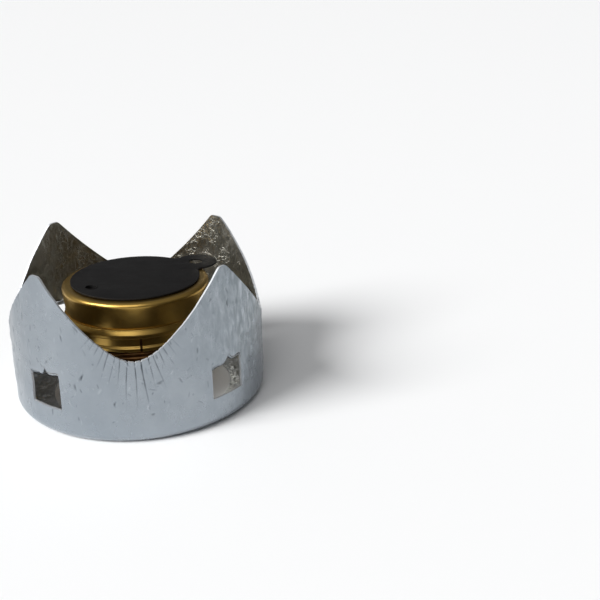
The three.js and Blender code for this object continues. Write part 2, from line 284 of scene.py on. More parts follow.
def burner_brass():
    """Brass browned by heat and use, and darkened further as painted shade for the burner inside the
    stand.
    """
    return metal(
        "burner_aged_brass_painted_shade",
        colours=[(0.25, (0.14, 0.07, 0.03)), (0.50, (0.24, 0.13, 0.05)), (0.80, (0.40, 0.25, 0.09))],
        roughness=(0.30, 0.50),
        clouds=70.0,
        bumps=[
            (dict(scale=1200.0, stretch=(0.05, 0.05, 1.0)), 0.000008),
            (dict(scale=500.0, detail=4.0, rough=0.6), 0.00003),
        ],
    )


def black_coating():
    """Matt black paint with a fine grain."""
    nodes = Nodes("cover_black_coating")
    clouds = nodes.noise(60.0, detail=6.0, rough=0.6)
    worn = nodes.ramp(clouds, [(0.35, (0.0065, 0.006, 0.006)), (0.70, (0.010, 0.0094, 0.0092))])
    smudges = nodes.levels(nodes.noise(150.0, detail=5.0), 0.3, 0.7, 0.46, 0.62)
    nodes.link(worn, nodes.shader.inputs["Base Color"])
    nodes.link(smudges, nodes.shader.inputs["Roughness"])
    nodes.shader.inputs["Specular IOR Level"].default_value = 0.18
    nodes.bumps([
        (nodes.noise(2200.0), 0.000006),
        (nodes.noise(160.0, detail=3.0), 0.00002),
    ])
    return nodes.material


def cotton():
    """Packed cotton fibres, mostly upright."""
    nodes = Nodes("wick_cotton")
    fibres = nodes.noise(900.0, detail=5.0, rough=0.7, stretch=(1, 1, 0.3), distort=1.5)
    colour = nodes.ramp(fibres, [(0.30, (0.42, 0.36, 0.26)), (0.70, (0.78, 0.73, 0.62))])
    nodes.link(colour, nodes.shader.inputs["Base Color"])
    nodes.shader.inputs["Roughness"].default_value = 0.95
    nodes.bumps([(fibres, 0.0006)])
    return nodes.material


# ---- mesh helpers


def heading(azimuth):
    """The direction, in plan, of an azimuth in radians: from -Y towards +X."""
    return np.array([math.sin(azimuth), -math.cos(azimuth)])


def arc(centre, radius, start, end, count):
    """Points along an arc in plan, without its last one; angles in radians from +X."""
    points = []
    for i in range(count):
        angle = start + (end - start) * i / count
        points.append(np.asarray(centre) + radius * np.array([math.cos(angle), math.sin(angle)]))
    return points


def circle(centre, radius, count):
    """Points round a circle in plan."""
    return arc(centre, radius, 0, 2 * math.pi, count)


def placed(name, data):
    """A new object in the scene, at the frame's origin."""
    made = bpy.data.objects.new(name, data)
    bpy.context.scene.collection.objects.link(made)
    return made


def piece(name, points, faces, materials, body, replaces, sharp=35.0):
    """A named mesh from points in millimetres, on its body and in place of its CAD nodes."""
    mesh = bpy.data.meshes.new(name)
    mesh.from_pydata((np.asarray(points) * MM).tolist(), [], faces)
    mesh.validate()
    mesh.shade_smooth()
    mesh.set_sharp_from_angle(angle=math.radians(sharp))
    for material in materials:
        mesh.materials.append(material)
    made = placed(name, mesh)
    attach(made, body)
    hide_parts(*replaces)
    return made


def apply_modifiers(made):
    """Turns the piece's modifiers into its mesh."""
    graph = bpy.context.evaluated_depsgraph_get()
    mesh = bpy.data.meshes.new_from_object(made.evaluated_get(graph))
    made.modifiers.clear()
    made.data = mesh


def rounded_path(corners, step=5.0):
    """A path through (radius, z, corner radius) points, its arcs in steps of so many degrees."""
    path = [np.array(corners[0][:2], float)]
    for before, here, after in zip(corners, corners[1:], corners[2:]):
        point = np.array(here[:2], float)
        back = np.array(before[:2], float) - point
        ahead = np.array(after[:2], float) - point
        room = min(np.linalg.norm(back), np.linalg.norm(ahead)) * 0.499  # next arc takes the rest
        back /= np.linalg.norm(back)
        ahead /= np.linalg.norm(ahead)
        half = math.acos(np.clip(back @ ahead, -1, 1)) / 2
        nearly_straight = half > math.radians(89)
        if here[2] <= 0 or nearly_straight:
            path.append(point)
            continue
        reach = min(here[2] / math.tan(half), room)
        radius = reach * math.tan(half)
        bisector = (back + ahead) / np.linalg.norm(back + ahead)
        centre = point + bisector * radius / math.sin(half)
        start = point + back * reach - centre
        end = point + ahead * reach - centre
        turn = math.pi - 2 * half
        side = math.copysign(1.0, start[0] * end[1] - start[1] * end[0])
        count = max(2, int(math.degrees(turn) / step))
        for i in range(count + 1):
            angle = side * turn * i / count
            c, s = math.cos(angle), math.sin(angle)
            path.append(centre + [start[0] * c - start[1] * s, start[0] * s + start[1] * c])
    path.append(np.array(corners[-1][:2], float))
    return np.array(path)


def resampled(path, longest):
    """The same path with no stretch longer than a limit."""
    out = [path[0]]
    for a, b in zip(path, path[1:]):
        count = max(1, int(math.ceil(np.linalg.norm(b - a) / longest)))
        out += [a + (b - a) * i / count for i in range(1, count + 1)]
    return np.array(out)


def without_loops(points, most_points=40):
    """The same line without the small loops that an offset makes inside tight bends."""
    points = [np.array(p, float) for p in points]
    i = 0
    while i < len(points) - 3:
        a, b = points[i], points[i + 1]
        for j in range(min(len(points) - 2, i + most_points), i + 1, -1):
            c, d = points[j], points[j + 1]
            u, v, w = b - a, d - c, c - a
            cross = u[0] * v[1] - u[1] * v[0]
            parallel = abs(cross) < 1e-12
            if parallel:
                continue
            t = (w[0] * v[1] - w[1] * v[0]) / cross
            q = (w[0] * u[1] - w[1] * u[0]) / cross
            if 0 < t < 1 and 0 < q < 1:
                points[i + 1:j + 1] = [a + u * t]
                break
        i += 1
    return np.array(points)


def sheet_section(path, thickness):
    """The closed outline of a sheet that lies to the left of a path, with rounded ends."""
    keep = [0] + [i for i in range(1, len(path)) if np.linalg.norm(path[i] - path[i - 1]) > 1e-6]
    path = path[keep]
    along = np.gradient(path, axis=0)
    along /= np.linalg.norm(along, axis=1)[:, None]
    left = np.stack([-along[:, 1], along[:, 0]], axis=1)
    inner = without_loops(path + left * thickness)
    half = thickness / 2
    bulge = 0.7  # how round the ends are: 1 would make them half circles
    steps = 6
    end_arc, start_arc = [], []
    for i in range(1, steps):
        c, s = math.cos(math.pi * i / steps), math.sin(math.pi * i / steps)
        end_arc.append(path[-1] + left[-1] * (half - half * c) + along[-1] * half * bulge * s)
        start_arc.append(inner[0] - left[0] * (half - half * c) - along[0] * half * bulge * s)
    return np.array([*path, *end_arc, *inner[::-1], *start_arc])


def turned(section, segments):
    """Points and faces of a closed (radius, z) section turned round the Z axis."""
    angles = np.arange(segments) * 2 * math.pi / segments
    count = len(section)
    radius, height = section[:, 0], section[:, 1]
    x = radius[None, :] * np.sin(angles)[:, None]
    y = -radius[None, :] * np.cos(angles)[:, None]
    z = np.broadcast_to(height, x.shape)
    points = np.stack([x, y, z], axis=2).reshape(-1, 3)
    faces = []
    for i in range(segments):
        a, b = i * count, (i + 1) % segments * count
        for j in range(count):
            k = (j + 1) % count
            faces.append((a + j, b + j, b + k, a + k))
    return points, faces


def prism(outline, low, high):
    """Points and faces of a closed prism over a plan outline."""
    count = len(outline)
    area = sum(a[0] * b[1] - a[1] * b[0] for a, b in zip(outline, outline[1:] + outline[:1]))
    if area < 0:
        outline = outline[::-1]
    points = [(x, y, low) for x, y in outline] + [(x, y, high) for x, y in outline]
    faces = [tuple(reversed(range(count))), tuple(range(count, 2 * count))]
    for i in range(count):
        n = (i + 1) % count
        faces.append((i, n, count + n, count + i))
    return np.array(points), faces


def radial_slot(azimuth, near, far, half_width, low, high):
    """A box-shaped tool that runs outwards along an azimuth, from one radius to another."""
    out = heading(azimuth)
    across = np.array([out[1], -out[0]])
    corners = ((near, -half_width), (near, half_width), (far, half_width), (far, -half_width))
    return prism([out * radius + across * side for radius, side in corners], low, high)


def joined(parts):
    """Several (points, faces) pairs as one."""
    points, faces, first = [], [], 0
    for part_points, part_faces in parts:
        points.append(np.asarray(part_points))
        faces += [tuple(index + first for index in face) for face in part_faces]
        first += len(part_points)
    return np.vstack(points), faces


def cut(target, tools):
    """Cuts closed tools, given as (points, faces) pairs, out of a piece."""
    points, faces = joined(tools)
    mesh = bpy.data.meshes.new("cutter")
    mesh.from_pydata((points * MM).tolist(), [], faces)
    cutter = placed("cutter", mesh)
    knife = target.modifiers.new("cut", "BOOLEAN")
    knife.operation = "DIFFERENCE"
    knife.solver = "EXACT"
    knife.object = cutter
    apply_modifiers(target)
    bpy.data.objects.remove(cutter)
    target.data.shade_smooth()
    target.data.set_sharp_from_angle(angle=math.radians(35))


def noise_at(points, size, seed):
    """Smooth noise, about -1 to 1, with bumps of roughly the given size in millimetres."""
    shift = Vector((seed, seed * 1.7, -seed))
    return np.array([noise.noise(Vector(p) / size + shift) for p in points])


# ---- windscreen and pot stand

# The sheet, its floor and its wall. These lengths are in millimetres and azimuths in degrees.
SHEET = 1.0
PROUD = 0.25  # the tallest bump on the wall; the smooth wall sits this far inside the CAD box
FLOOR_OPENING = 46.3
BOTTOM_CORNER = 6.0
WALL_RADIUS = STAND_RADIUS - PROUD
FLAT_RADIUS = WALL_RADIUS - BOTTOM_CORNER
SHOULDER_Z = 42.0
SHOULDER_LEAN = 0.4  # how far the wall leans in at the shoulder
TIP_LEAN = 2.3  # how much further it leans in at the tips

# The rim.
NOTCHES = [(0.05, 42.4), (88.0, 41.0), (180.4, 40.2), (-88.5, 40.8)]  # azimuth, lowest point
NOTCH_ROUND = 13.1  # a notch is a hyperbola, and this rounds its bottom
NOTCH_SLOPE = 67.06  # rise of its sides for each radian round the wall
TIPS = {-45: 0.2, 45: 0.0, 135: 0.0, -135: 0.1}  # how far each tip is below the full height
TIP_ROUND = 0.45
RIM_DENTS = 2.0  # a wrinkle lowers the cut edge by this many times its depth

# The air ports and their flaps.
PORT_AZIMUTHS = [-42.3, 42.1, 137.7, -137.7]
PORT_HALF_WIDTH = 9.8
PORT_BOTTOM = 15.3
PORT_TOP = 33.8
ABOVE_PORT = 37.5  # the rows of points follow the port's top edge less and less up to here
DART = 0.6  # where along the port's top edge the flap tears free
DART_RISE = 2.0
FLAP_ROLL = (7.7, 1.7)  # radius of the roll at the flap's left end, and along its right part
FLAP_FOLD = (90.0, 24.0)  # degrees it is folded by at its left, and how many more at its right
TEAR = 0.5  # how far the torn part of the flap hangs below the edge it left

# The wrinkles that fan out below each notch.
FAN_HEIGHT = 34.0  # they point at a place this far above the notch
FAN_SPREAD = 41.0  # they run this many degrees to both sides of upright
FAN_MIDDLE = 24.0  # within about this many degrees they are deep and long
FAN_SPACING = (4.6, 6.0)
FAN_DEPTH = (0.26, 0.36)
FAN_WIDTH = (0.26, 0.33)
FAN_LENGTH = (13.0, 24.0)
FAN_REACH = 42.0  # how far round the wall from the notch they are worked out

# The short creases all over the wall.
STROKES = 1500
STROKE_LOW = 9.0
STROKE_SPAN = 68.0
STROKES_UPRIGHT = 38.0  # above this height they lean less
STROKE_HALF_LENGTH = (0.5, 2.0)
STROKE_WIDTH = (0.28, 0.60)
STROKE_DEPTH = (0.07, 0.22)
STROKE_KINDS = (1, -1, -0.8)  # a groove, or one of two ridges
# The crease attribute sets how much shade and highlight is painted on the outer face.
FULL_CREASE = 0.3  # a line this deep is fully marked in the crease attribute
CRINKLE_SIZE = 2.2
WALL_CRINKLE = 0.16  # depth of the inner face's fine crinkle
FLOOR_CRINKLE = 0.7

# The grid of points.
PORT_COLUMNS = 48
FINE_COLUMN = 0.24
COARSE_COLUMN = 0.36
FINE_WITHIN = 27.0  # columns are fine this near to a notch
FLOOR_ROWS = 19
CORNER_ROWS = 9
LOWER_ROWS = 15
PORT_ROWS = 37
ABOVE_ROWS = 8
UPPER_ROWS = 45
FLAP_ROWS = 34

DOWN = np.array([0.0, 0.0, -1.0])


def turn_between(angle, target):
    """Signed difference, in radians, between an azimuth in radians and one in degrees."""
    return (angle - math.radians(target) + math.pi) % (2 * math.pi) - math.pi


def rim_height(theta):
    """Height of the cut edge at each azimuth: four notches between four blunt tips."""
    rim = np.full_like(theta, np.inf)
    for azimuth, lowest in NOTCHES:
        side = turn_between(theta, azimuth)
        rim = np.minimum(rim, lowest + np.hypot(NOTCH_ROUND, NOTCH_SLOPE * side) - NOTCH_ROUND)
    tip = np.full_like(theta, STAND_HEIGHT)
    for azimuth, below in TIPS.items():
        tip -= below * (np.abs(turn_between(theta, azimuth)) < math.radians(30))
    return rim - TIP_ROUND * np.logaddexp(0.0, (rim - tip) / TIP_ROUND)


def wall_radius(z):
    """The smooth wall leans in a little up to the shoulder, and then more and more."""
    lean = np.clip((z - SHOULDER_Z) / (STAND_HEIGHT - SHOULDER_Z), 0, None)
    return WALL_RADIUS - SHOULDER_LEAN * np.clip(z / SHOULDER_Z, 0, 1) - TIP_LEAN * lean ** 1.7


def fan_grooves():
    """For every notch, its wrinkles: direction in the fan, depth, width and length."""
    chance = random.Random(11)
    fans = []
    for _ in NOTCHES:
        grooves = []
        direction = -FAN_SPREAD
        while direction < FAN_SPREAD:
            middle = math.exp(-(direction / FAN_MIDDLE) ** 2)
            grooves.append((
                math.radians(direction),
                chance.uniform(*FAN_DEPTH) * (0.5 + 0.5 * middle),
                chance.uniform(*FAN_WIDTH),
                chance.uniform(*FAN_LENGTH) * (0.35 + 0.65 * middle),
            ))
            direction += chance.uniform(*FAN_SPACING)
        fans.append(grooves)
    return fans


def wall_strokes():
    """The short creases: azimuth, height, lean in radians, half length, width and depth."""
    chance = random.Random(5)
    strokes = []
    for _ in range(STROKES):
        azimuth = chance.uniform(-math.pi, math.pi)
        height = STROKE_LOW + STROKE_SPAN * chance.random() ** 0.85
        lean = chance.gauss(0.0, 0.4 if height > STROKES_UPRIGHT else 0.7)
        half = chance.uniform(*STROKE_HALF_LENGTH)
        width = chance.uniform(*STROKE_WIDTH)
        depth = chance.choice(STROKE_KINDS) * chance.uniform(*STROKE_DEPTH)
        strokes.append((azimuth, height, lean, half, width, depth))
    return strokes


def groove_profile(across):
    """A pressed line with a slightly raised lip along one side."""
    return np.exp(-across ** 2) - 0.30 * np.exp(-((across - 1.8) / 0.8) ** 2)


def fan_depth(fans, theta, z, rim, widen=1.0):
    """How far the wrinkles below the notches sink into the wall.

    Each wrinkle wavers a little sideways and in depth on its way down, and fades at its length.
    """
    depth = np.zeros_like(z)
    for (azimuth, lowest), grooves in zip(NOTCHES, fans):
        side = turn_between(theta, azimuth) * WALL_RADIUS
        near = np.abs(side) < FAN_REACH
        if not near.any():
            continue
        below = lowest + FAN_HEIGHT - z[near]
        direction = np.arctan2(side[near], np.maximum(below, 1.0))
        distance = np.hypot(side[near], below)
        from_rim = np.clip(rim[near] - z[near], 0, None)
        total = np.zeros_like(distance)
        for centre, deep, width, length in grooves:
            waver = 0.004 * np.sin(from_rim / 5.0 + centre * 40)
            across = (direction - centre - waver) * distance / (width * widen)
            pulse = 1 - 0.15 * np.sin(from_rim * 0.8 + centre * 90)
            fade = np.exp(-(from_rim / length) ** 2.6) * pulse
            total += deep * np.exp(-across ** 2) * fade
        depth[near] += total
    return depth


def stroke_depth(strokes, theta, z, widen=1.0):
    """How far the short creases sink into the wall, on a grid of azimuth and height."""
    depth = np.zeros_like(z)
    column_theta = theta[0]
    for azimuth, height, lean, half, width, deep in strokes:
        reach = half + 3 * width * widen + 0.5
        side = (column_theta - azimuth + math.pi) % (2 * math.pi) - math.pi
        columns = np.nonzero(np.abs(side) * WALL_RADIUS < reach)[0]
        if not len(columns):
            continue
        dz = z[:, columns] - height
        dx = side[columns][None, :] * WALL_RADIUS
        c, s = math.cos(lean), math.sin(lean)
        along, across = dx * s + dz * c, dx * c - dz * s
        fade = np.exp(-(along / half) ** 4)
        depth[:, columns] += deep * groove_profile(across / (width * widen)) * fade
    return depth


def wall_columns():
    """Azimuths of the wall's columns, and each port's first column, last column and azimuth."""
    half = PORT_HALF_WIDTH / WALL_RADIUS
    centres = sorted(math.radians(azimuth) for azimuth in PORT_AZIMUTHS)
    next_centres = [*centres[1:], centres[0] + 2 * math.pi]
    columns, ports = [], []
    for centre, next_centre in zip(centres, next_centres):
        ports.append((len(columns), len(columns) + PORT_COLUMNS, centre))
        columns += list(np.linspace(centre - half, centre + half, PORT_COLUMNS + 1)[:-1])
        here, end = centre + half, next_centre - half
        while here < end - 1e-6:
            columns.append(here)
            nearest = min(abs(turn_between(here, azimuth)) for azimuth, _ in NOTCHES)
            fine = nearest < math.radians(FINE_WITHIN)
            step = math.radians(FINE_COLUMN if fine else COARSE_COLUMN)
            here += step if end - here > 1.5 * step else end - here
    return np.array(columns), ports


def top_edge_lift(side):
    """The port's top edge waves a little, and rises to a dart where the flap tears free."""
    return DART_RISE * np.exp(-((side - DART) / 1.3) ** 2) + 0.25 * np.sin(side * 0.9 + 0.5)


def smooth_stand(theta, rim, ports):
    """The outer face before any wrinkle: its rows of points, the way they face and row marks."""
    out = np.stack([np.sin(theta), -np.cos(theta), np.zeros_like(theta)], axis=1)
    rows, facing = [], []
    for radius in np.linspace(FLOOR_OPENING, FLAT_RADIUS, FLOOR_ROWS + 1)[:-1]:
        rows.append(out * radius)
        facing.append(np.tile(DOWN, (len(theta), 1)))
    for angle in np.linspace(0, math.pi / 2, CORNER_ROWS + 1)[:-1]:
        look = out * math.sin(angle) + DOWN * math.cos(angle)
        rows.append(out * FLAT_RADIUS - DOWN * BOTTOM_CORNER + look * BOTTOM_CORNER)
        facing.append(look)
    lower = np.linspace(BOTTOM_CORNER, PORT_BOTTOM, LOWER_ROWS + 1)[:-1]
    beside = np.linspace(PORT_BOTTOM, PORT_TOP, PORT_ROWS + 1)[:-1]
    above = np.linspace(PORT_TOP, ABOVE_PORT, ABOVE_ROWS)
    marks = {"wall": len(rows), "bottom": len(rows) + len(lower)}
    marks["top"] = marks["bottom"] + len(beside)
    for z in [*lower, *beside, *above]:
        height = np.full_like(theta, z)
        for _, _, centre in ports:
            side = turn_between(theta, math.degrees(centre)) * WALL_RADIUS
            near = np.exp(-np.clip(np.abs(side) - PORT_HALF_WIDTH, 0, None) ** 2 / 2.0)
            share = max(0.0, (ABOVE_PORT - z) / (ABOVE_PORT - PORT_TOP)) if z >= PORT_TOP else 0.0
            height = height + top_edge_lift(side) * near * share
        rows.append(out * wall_radius(height)[:, None] - DOWN * height[:, None])
        facing.append(out)
    base = rows[-1][:, 2]
    for share in np.linspace(0, 1, UPPER_ROWS + 1)[1:]:
        height = base + (rim - base) * share ** 0.92
        rows.append(out * wall_radius(height)[:, None] - DOWN * height[:, None])
        facing.append(out)
    return np.array(rows), np.array(facing), marks


def wrinkled(points, facing, theta, rim, fans, marks):
    """Outer and inner faces of the wrinkled sheet, and how deeply each outer point is creased.

    The inner face has the same dents, a little softer, and a fine crinkle of its own.
    """
    z = points[:, :, 2]
    angle = np.broadcast_to(theta, z.shape)
    rims = np.broadcast_to(rim, z.shape)
    on_wall = np.clip((z - BOTTOM_CORNER) / 5.0, 0, 1)
    on_wall[:marks["wall"]] = 0.0
    on_floor = np.zeros_like(z)
    on_floor[:marks["wall"]] = np.clip((marks["wall"] - np.arange(marks["wall"])) / 8, 0, 1)[:, None]
    flat = points.reshape(-1, 3)
    broad = (noise_at(flat, 15.0, 3.1) * 0.22 + noise_at(flat, 5.0, 8.3) * 0.16).reshape(z.shape)
    crinkle = np.abs(noise_at(flat, CRINKLE_SIZE, 1.9)).reshape(z.shape)
    crinkle = crinkle * (WALL_CRINKLE * on_wall + FLOOR_CRINKLE * on_floor)
    strokes = wall_strokes()
    lines = fan_depth(fans, angle, z, rims) + stroke_depth(strokes, angle, z)
    soft_lines = fan_depth(fans, angle, z, rims, 2.0) + stroke_depth(strokes, angle, z, 1.6)
    push = np.minimum((broad - lines) * on_wall, PROUD)
    outer = points + facing * push[:, :, None]
    settled = (broad - soft_lines * 0.8) * on_wall - crinkle
    inner = points + facing * (np.minimum(settled, PROUD) - SHEET)[:, :, None]
    return outer, inner, np.clip(lines * on_wall / FULL_CREASE, -1, 1.5)


def air_flap(edge, side, centre):
    """Outer and inner faces of one flap: rolled in off the port's top edge, wide at its left."""
    out = np.array([*heading(centre), 0.0])
    share = (side + PORT_HALF_WIDTH) / (2 * PORT_HALF_WIDTH)
    at_left = np.clip(1 - share / 0.62, 0, 1) ** 1.2
    radius = FLAP_ROLL[1] + (FLAP_ROLL[0] - FLAP_ROLL[1]) * at_left
    fold = np.radians(FLAP_FOLD[0] + FLAP_FOLD[1] * share)
    length = PORT_TOP - PORT_BOTTOM - 0.4  # a little is lost to the cut
    outer, inner = [], []
    for distance in np.linspace(0, length, FLAP_ROWS):
        on_arc = np.minimum(distance, radius * fold)
        turned_by = on_arc / radius
        rest = distance - on_arc
        drop = radius * np.sin(turned_by) + rest * np.cos(fold)
        inwards = radius * (1 - np.cos(turned_by)) + rest * np.sin(fold)
        look = out * np.cos(turned_by)[:, None] + DOWN * np.sin(turned_by)[:, None]
        points = edge - out * inwards[:, None] + DOWN * drop[:, None]
        wave = noise_at(points, 4.0, 21.0) * 0.30 + noise_at(points, 1.6, 2.0) * 0.14
        points = points + look * (wave * min(1.0, distance / 3))[:, None]
        outer.append(points)
        inner.append(points - look * SHEET)
    return outer, inner


def wall_faces(rows, columns, marks, ports):
    """Faces between the rows and columns of the floor and wall, with the ports left open."""
    port_cells = np.zeros((rows, columns), bool)
    for first, last, _ in ports:
        port_cells[marks["bottom"]:marks["top"], first:last] = True
    faces = []
    for r in range(rows - 1):
        for c in range(columns):
            if not port_cells[r, c]:
                d = (c + 1) % columns
                a, b = r * columns, (r + 1) * columns
                faces.append((a + c, a + d, b + d, b + c))
    return faces


def add_flap(outer_points, inner_points, edge_index, side, centre):
    """Adds a flap's points to the sheet's, and returns its faces.

    Up to the dart it shares the port's top edge; past the dart it hangs free of it.
    """
    edge = np.array([outer_points[index] for index in edge_index])
    flap_outer, flap_inner = air_flap(edge, side, centre)
    index = np.empty((FLAP_ROWS, len(edge_index)), int)
    for r, (outside, inside) in enumerate(zip(flap_outer, flap_inner)):
        for k, shared in enumerate(edge_index):
            if r == 0 and side[k] <= DART:
                index[r, k] = shared
                continue
            index[r, k] = len(outer_points)
            torn = np.array([0, 0, 0.0 if side[k] <= DART else TEAR * math.exp(-r / 3)])
            outer_points.append(outside[k] - torn)
            inner_points.append(inside[k] - torn)
    return [
        (index[r + 1, k], index[r + 1, k + 1], index[r, k + 1], index[r, k])
        for r in range(FLAP_ROWS - 1) for k in range(len(edge_index) - 1)
    ]


def build_stand():
    """The whole stand as one wrinkled sheet."""
    fans = fan_grooves()
    theta, ports = wall_columns()
    rim = rim_height(theta)
    dents = np.clip(fan_depth(fans, theta, rim, rim), 0, None)
    rim = rim - RIM_DENTS * dents
    points, facing, marks = smooth_stand(theta, rim, ports)
    outer, inner, creased = wrinkled(points, facing, theta, rim, fans, marks)
    rows, columns = outer.shape[:2]
    outer_points = [*outer.reshape(-1, 3)]
    inner_points = [*inner.reshape(-1, 3)]
    faces = wall_faces(rows, columns, marks, ports)
    for first, last, centre in ports:
        place = np.arange(first, last + 1)
        side = (theta[place] - centre) * WALL_RADIUS
        edge_index = marks["top"] * columns + place
        faces += add_flap(outer_points, inner_points, edge_index, side, centre)
    # The crease values set how much shade is painted into each groove and how much highlight onto each
    # ridge.
    crease_shade_and_highlight = np.zeros(len(outer_points))
    crease_shade_and_highlight[:creased.size] = creased.ravel()
    sheet_piece(outer_points, inner_points, crease_shade_and_highlight, faces)


def sheet_piece(outer, inner, crease_shade_and_highlight, faces):
    """One closed sheet from its outer faces: inner faces behind them, and a cut edge all round."""
    count = len(outer)
    sides = dict.fromkeys(pair for face in faces for pair in zip(face, face[1:] + face[:1]))
    edge = [(a, b) for a, b in sides if (b, a) not in sides]
    all_faces = list(faces)
    all_faces += [tuple(count + index for index in reversed(face)) for face in faces]
    all_faces += [(b, a, count + a, count + b) for a, b in edge]
    made = piece(
        "stand_sheet", [*outer, *inner], all_faces, stand_metals(), "stand",
        ["windscreen_stand"], sharp=180.0,
    )
    kinds = np.repeat([0, 1, 2], [len(faces), len(faces), len(edge)])
    made.data.polygons.foreach_set("material_index", kinds)
    # The crease attribute drives the outer material's painted shade and painted highlight.
    layer = made.data.attributes.new("crease_shade_and_highlight", "FLOAT", "POINT")
    layer.data.foreach_set("value", np.array([*crease_shade_and_highlight, *crease_shade_and_highlight], np.float32))
    made.data.set_sharp_from_angle(angle=math.radians(62))


# ---- spirit burner

BRASS_SHEET = 0.8
BEAD_PROUD = 3.2  # how far the bead stands out from the neck
FOOT_INSET = 1.0  # how much slimmer the foot is than the neck
BEAD_HEIGHT = 0.58  # of the cup's height
THREAD_ABOVE_BEAD = 2.8
THREAD_BELOW_RIM = 10.2
THREAD_PITCH = 2.2
THREAD_DEPTH = 0.95
THREAD_ROOT = 0.25  # how far inside the neck's face the ridge is rooted
SLEEVE_BORE = 22.5
SLEEVE_ROUND = 2.6
SKIRT_DEPTH = 8.0  # how far down inside the cup's neck the sleeve's skirt reaches
JETS = 24
JET_CIRCLE = 29.2
JET_RADIUS = 0.7
FEED_NOTCHES = 4
FEED_HALF_WIDTH = 2.5
FEED_HEIGHT = 3.0
WICK_GAP = 1.2  # from the sleeve's bore to the wick, so the sleeve's sheet is in it
WICK_ROUND = 1.5


def helix_thread(radius, low, high, steps_per_turn=160, sides=10):
    """A rolled thread: a low round ridge that winds up the neck and fades at its ends."""
    turns = (high - low) / THREAD_PITCH
    steps = int(turns * steps_per_turn)
    points, faces = [], []
    for i in range(steps + 1):
        share = i / steps
        z = low + (high - low) * share
        fade = min(1.0, share * 12, (1 - share) * 12)
        out = heading(share * turns * 2 * math.pi)
        for k in range(sides):
            around = 2 * math.pi * k / sides
            reach = radius - THREAD_ROOT + (THREAD_DEPTH + THREAD_ROOT) * math.cos(around) * fade
            x, y = out * reach
            points.append((x, y, z + THREAD_PITCH * 0.34 * math.sin(around) * fade))
    for i in range(steps):
        for k in range(sides):
            a, b = i * sides, (i + 1) * sides
            n = (k + 1) % sides
            faces.append((a + k, b + k, b + n, a + n))
    faces.append(tuple(range(sides)))
    faces.append(tuple(reversed(range(steps * sides, steps * sides + sides))))
    return np.array(points), faces


def build_cup(brass):
    """The fuel cup: a drawn vessel with a rolled bead and a threaded neck above it."""
    bead = CUP_HIGH[0]
    neck = bead - BEAD_PROUD
    foot = neck - FOOT_INSET
    top = CUP_HIGH[2]
    bead_z = top * BEAD_HEIGHT
    path = rounded_path([
        (0.0, 0.0, 0), (foot, 0.0, 6.0), (neck - 0.2, bead_z - 2.2, 1.0), (bead, bead_z - 0.9, 0.7),
        (bead, bead_z + 0.9, 0.7), (neck, bead_z + 2.2, 0.8), (neck, top, 0),
    ])
    section = sheet_section(resampled(path, 2.0), BRASS_SHEET)
    section = section[section[:, 0] > 0.02]  # leaves a small hole in the middle of the bottom
    vessel = turned(section, 192)
    thread = helix_thread(neck, bead_z + THREAD_ABOVE_BEAD, top - THREAD_BELOW_RIM)
    points, faces = joined([vessel, thread])
    piece("burner_fuel_cup", points, faces, [brass], "burner", ["burner_cup"])


def build_sleeve(brass):
    """The inner wall, its skirt inside the cup's neck, with jets on top and feed notches below."""
    skirt = SLEEVE_HIGH[0]
    foot, crown = SLEEVE_LOW[2], SLEEVE_HIGH[2]
    path = rounded_path([
        (skirt, CUP_HIGH[2] - SKIRT_DEPTH, 0), (skirt, crown, SLEEVE_ROUND),
        (SLEEVE_BORE, crown, SLEEVE_ROUND), (SLEEVE_BORE, foot, 0),
    ])
    points, faces = turned(sheet_section(resampled(path, 1.5), BRASS_SHEET), 192)
    sleeve = piece(
        "burner_jet_sleeve", points, faces, [brass], "burner", ["jet_sleeve"],
    )
    tools = []
    for i in range(JETS):
        centre = JET_CIRCLE * heading((i + 0.5) / JETS * 2 * math.pi)
        tools.append(prism(circle(centre, JET_RADIUS, 16), crown - 4, crown + 4))
    for i in range(FEED_NOTCHES):
        azimuth = i / FEED_NOTCHES * 2 * math.pi
        tools.append(radial_slot(azimuth, 18, 27, FEED_HALF_WIDTH, foot - 1, foot + FEED_HEIGHT))
    cut(sleeve, tools)


def build_wick():
    """The cotton packed between cup and sleeve."""
    inner, outer = SLEEVE_BORE + WICK_GAP, WICK_HIGH[0]
    low, high = WICK_LOW[2], WICK_HIGH[2]
    middle = (low + high) / 2
    path = rounded_path([
        (inner, middle, 0), (inner, low, WICK_ROUND), (outer, low, WICK_ROUND),
        (outer, high, WICK_ROUND), (inner, high, WICK_ROUND), (inner, middle + 0.01, 0),
    ])
    points, faces = turned(resampled(path, 1.2)[:-1], 128)
    points += noise_at(points, 1.8, 4.0)[:, None] * [0.0, 0.0, 0.35]
    piece("burner_wick", points, faces, [cotton()], "burner", ["wick_ring"])


def build_burner():
    """The cup and the sleeve in one brass, and the wick between them."""
    brass = burner_brass()
    build_cup(brass)
    build_sleeve(brass)
    build_wick()


# ---- simmer ring

RING_OPENING = 20.5
SEAT_OPENING = 31.6
SEAT_ABOVE_BURNER = 0.3
SLITS = 3
FIRST_SLIT = 3.5  # degrees
SLIT_HALF_WIDTH = 0.6
SLIT_HEIGHT = 7.2
PIVOT_BORE = 3.2  # the pivot's hole through the ring and the cover


